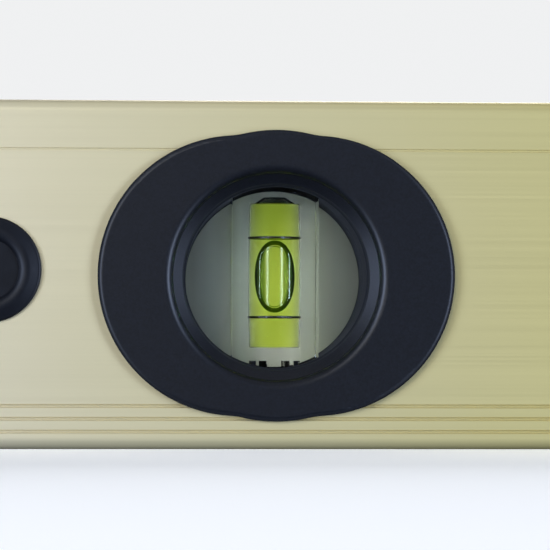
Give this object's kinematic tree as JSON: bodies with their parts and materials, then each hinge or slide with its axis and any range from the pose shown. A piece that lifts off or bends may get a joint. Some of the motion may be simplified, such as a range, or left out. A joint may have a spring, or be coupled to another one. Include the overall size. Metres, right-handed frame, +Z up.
{
  "type": "spirit level",
  "caption": "Short box-beam spirit level with round-window plumb vials in dished black bezels, a top-read level vial, rubber grip plugs and moulded end caps.",
  "frame": {"origin": "middle of the measuring base", "axes": "+X along the beam, -Y out of the front face, +Z up from the base"},
  "size_m": [0.4, 0.028, 0.06],
  "materials": {
    "anodised_aluminium": "satin pale gold anodised",
    "black_plastic": "fine matte moulded texture",
    "black_rubber": "smooth",
    "milky_plastic": "translucent white",
    "clear_acrylic": "clear, polished",
    "lime_spirit": "clear fluorescent lime liquid",
    "gas_bubble": "gas seen through the liquid",
    "black_band": "black"
  },
  "bodies": {
    "level": {"beam": "anodised_aluminium", "left_end_cap": "black_plastic", "left_front_grip_plug": "black_rubber", "left_rear_grip_plug": "black_rubber", "left_front_bezel": "black_plastic", "left_rear_bezel": "black_plastic", "left_diffuser": "milky_plastic", "right_end_cap": "black_plastic", "right_front_grip_plug": "black_rubber", "right_rear_grip_plug": "black_rubber", "right_front_bezel": "black_plastic", "right_rear_bezel": "black_plastic", "right_diffuser": "milky_plastic", "centre_front_cover": "black_plastic", "centre_rear_cover": "black_plastic", "centre_top_lens": "clear_acrylic", "centre_diffuser": "milky_plastic", "left_vial_block": "clear_acrylic", "left_vial_fluid": "lime_spirit", "left_lower_ring": "black_band", "left_upper_ring": "black_band", "left_filler_plug": "clear_acrylic", "right_vial_block": "clear_acrylic", "right_vial_fluid": "lime_spirit", "right_lower_ring": "black_band", "right_upper_ring": "black_band", "right_filler_plug": "clear_acrylic", "centre_vial_block": "clear_acrylic", "centre_vial_fluid": "lime_spirit", "centre_left_ring": "black_band", "centre_right_ring": "black_band", "centre_filler_plug": "clear_acrylic"},
    "left_bubble": {"left_bubble": "gas_bubble"},
    "right_bubble": {"right_bubble": "gas_bubble"},
    "centre_bubble": {"centre_bubble": "gas_bubble"}
  },
  "joints": [
    {"name": "left_bubble_slide", "type": "slide", "parent": "level", "child": "left_bubble", "axis": [0, 0, 1], "range_m": [-0.0058, 0.0061], "stiffness_N_per_m": 15},
    {"name": "right_bubble_slide", "type": "slide", "parent": "level", "child": "right_bubble", "axis": [0, 0, 1], "range_m": [-0.0058, 0.0061], "stiffness_N_per_m": 15},
    {"name": "centre_bubble_slide", "type": "slide", "parent": "level", "child": "centre_bubble", "axis": [1, 0, 0], "range_m": [-0.0056, 0.0063], "stiffness_N_per_m": 15}
  ]
}
